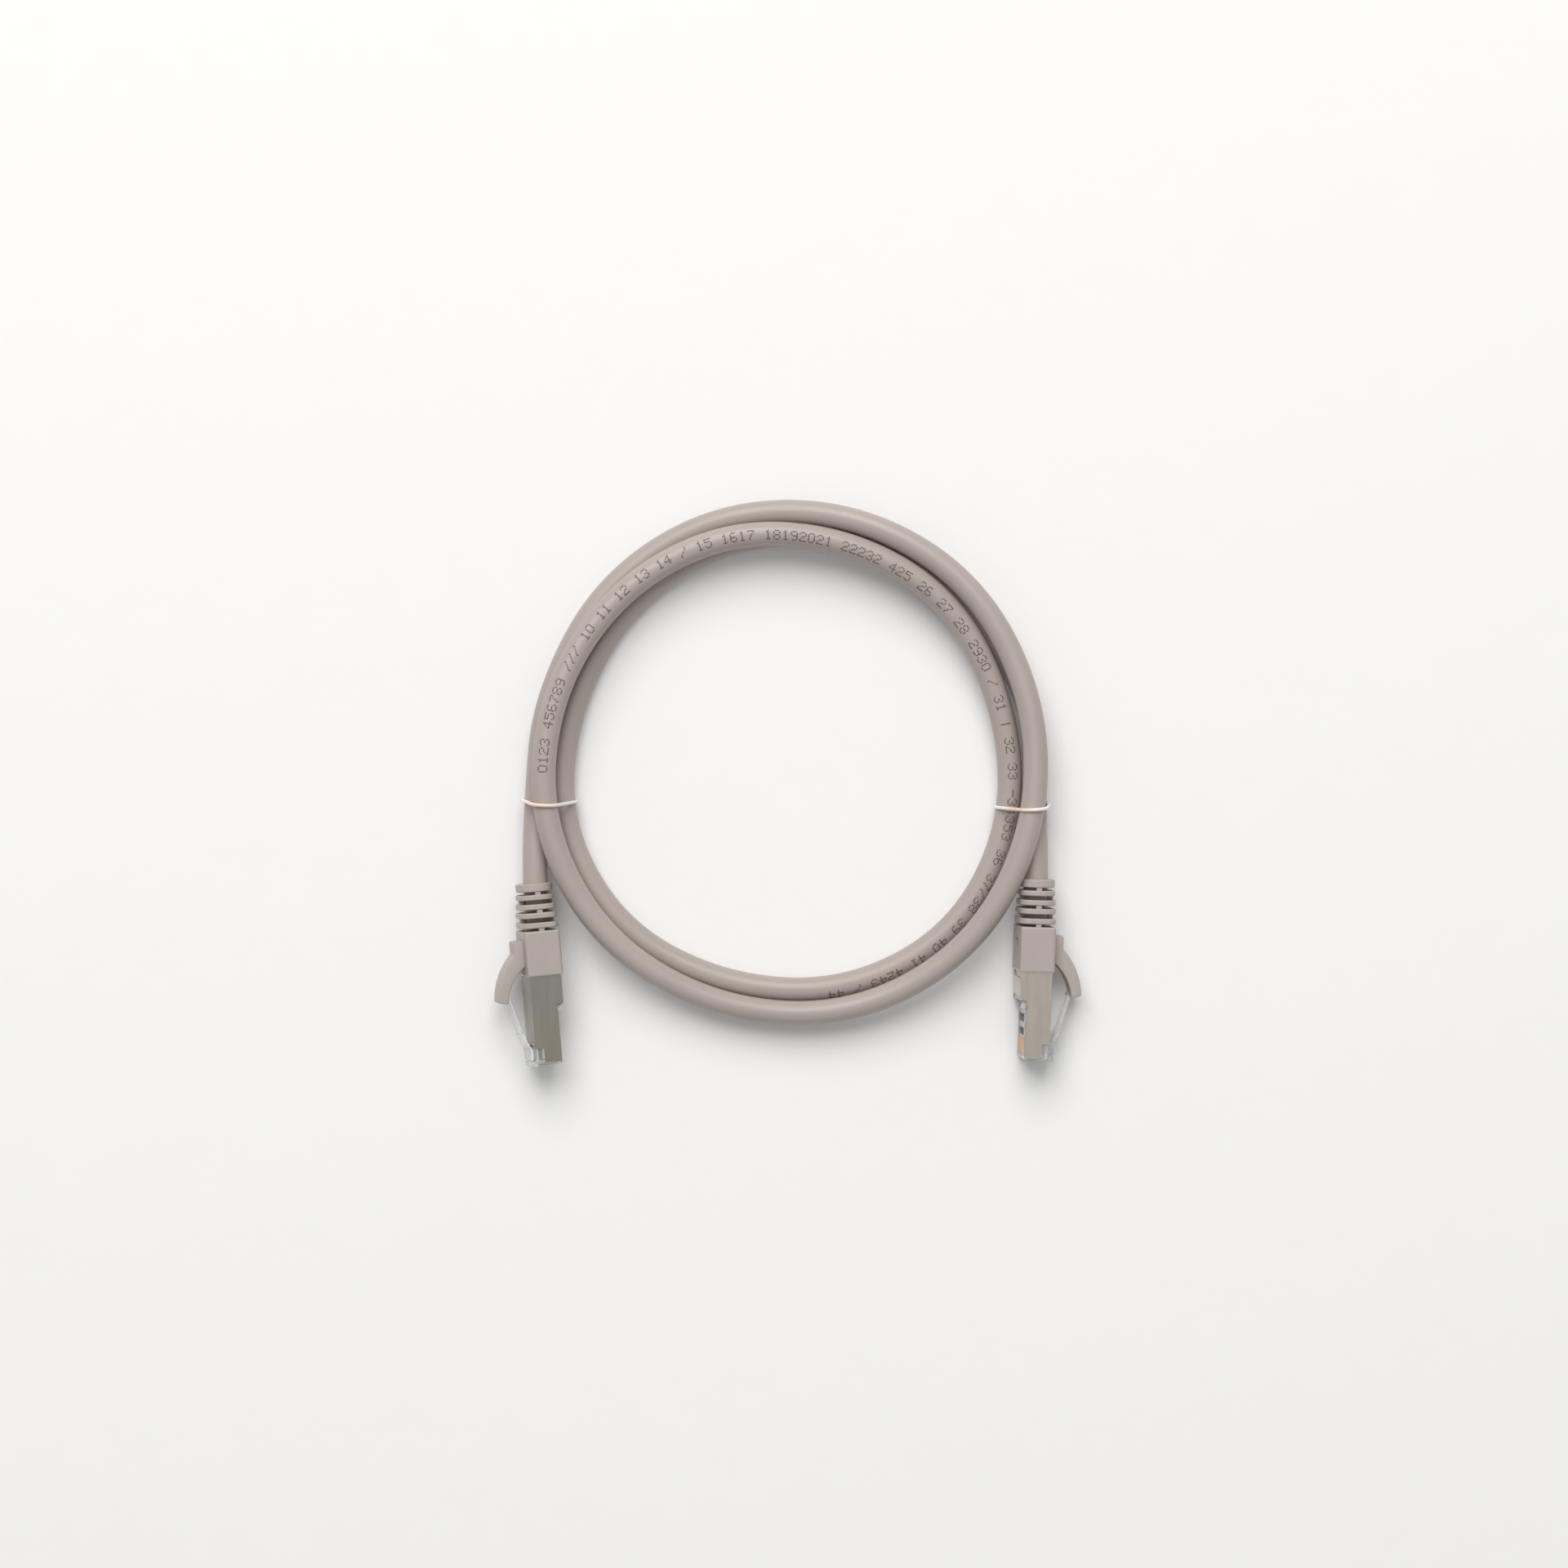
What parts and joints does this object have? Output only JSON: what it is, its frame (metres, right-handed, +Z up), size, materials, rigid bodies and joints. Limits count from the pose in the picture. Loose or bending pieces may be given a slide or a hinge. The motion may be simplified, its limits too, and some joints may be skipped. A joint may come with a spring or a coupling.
{
  "type": "ethernet patch cable",
  "caption": "Shielded network patch cable, coiled and tied, with a booted modular plug at each end, each with a sprung release latch under a curved guard.",
  "frame": {"origin": "middle of the whole coiled cable's footprint, on the table it lies on", "axes": "+Z up off the table, +Y from the plugs toward the far side of the coil, +X toward the plug whose contacts face the coil"},
  "size_m": [0.1496, 0.1446, 0.0166],
  "materials": {
    "jacket_grey": "smooth satin",
    "boot_grey": "fine matte",
    "clear_plastic": "clear gloss",
    "nickel_sheet": "satin nickel plate",
    "gold_contact": "bright gold flash",
    "tinned_braid": "bright",
    "foil": "bright",
    "copper": "bright drawn",
    "band_white": "smooth",
    "wire_white_orange": "satin",
    "wire_orange": "satin",
    "wire_white_green": "satin",
    "wire_blue": "satin",
    "wire_white_blue": "satin",
    "wire_green": "satin",
    "wire_white_brown": "satin",
    "wire_brown": "satin"
  },
  "bodies": {
    "cord": {"cable_jacket": "jacket_grey", "cable_braid": "tinned_braid", "foiled_pairs": "foil", "conductor_1": "wire_white_orange", "conductor_2": "wire_orange", "conductor_3": "wire_white_green", "conductor_4": "wire_blue", "conductor_5": "wire_white_blue", "conductor_6": "wire_green", "conductor_7": "wire_white_brown", "conductor_8": "wire_brown", "copper_cores": "copper", "left_band": "band_white", "right_band": "band_white", "left_housing": "clear_plastic", "left_shield": "nickel_sheet", "left_contacts": "gold_contact", "left_load_bar": "clear_plastic", "left_boot": "boot_grey", "right_housing": "clear_plastic", "right_shield": "nickel_sheet", "right_contacts": "gold_contact", "right_load_bar": "clear_plastic", "right_boot": "boot_grey"},
    "left_latch": {"left_latch": "clear_plastic"},
    "left_guard": {"left_latch_guard": "boot_grey"},
    "right_latch": {"right_latch": "clear_plastic"},
    "right_guard": {"right_latch_guard": "boot_grey"}
  },
  "joints": [
    {"name": "left_latch_hinge", "type": "hinge", "parent": "cord", "child": "left_latch", "pos_m": [-0.06573, -0.07014, 0.00832], "axis": [-0.2509, -0.0037, -0.968], "range_deg": [0, 10], "stiffness_Nm_per_rad": 0.12},
    {"name": "left_guard_hinge", "type": "hinge", "parent": "cord", "child": "left_guard", "pos_m": [-0.06886, -0.04457, 0.00903], "axis": [0.2509, 0.0037, 0.968], "range_deg": [0, 15]},
    {"name": "right_latch_hinge", "type": "hinge", "parent": "cord", "child": "right_latch", "pos_m": [0.06676, -0.06888, 0.00611], "axis": [0.088, -0.0274, 0.9957], "range_deg": [0, 10], "stiffness_Nm_per_rad": 0.12},
    {"name": "right_guard_hinge", "type": "hinge", "parent": "cord", "child": "right_guard", "pos_m": [0.0687, -0.04319, 0.00664], "axis": [-0.088, 0.0274, -0.9957], "range_deg": [0, 15]}
  ],
  "couplings": [
    {"joint": "left_guard_hinge", "follows": "left_latch_hinge", "ratio": 1.5},
    {"joint": "right_guard_hinge", "follows": "right_latch_hinge", "ratio": 1.5}
  ]
}
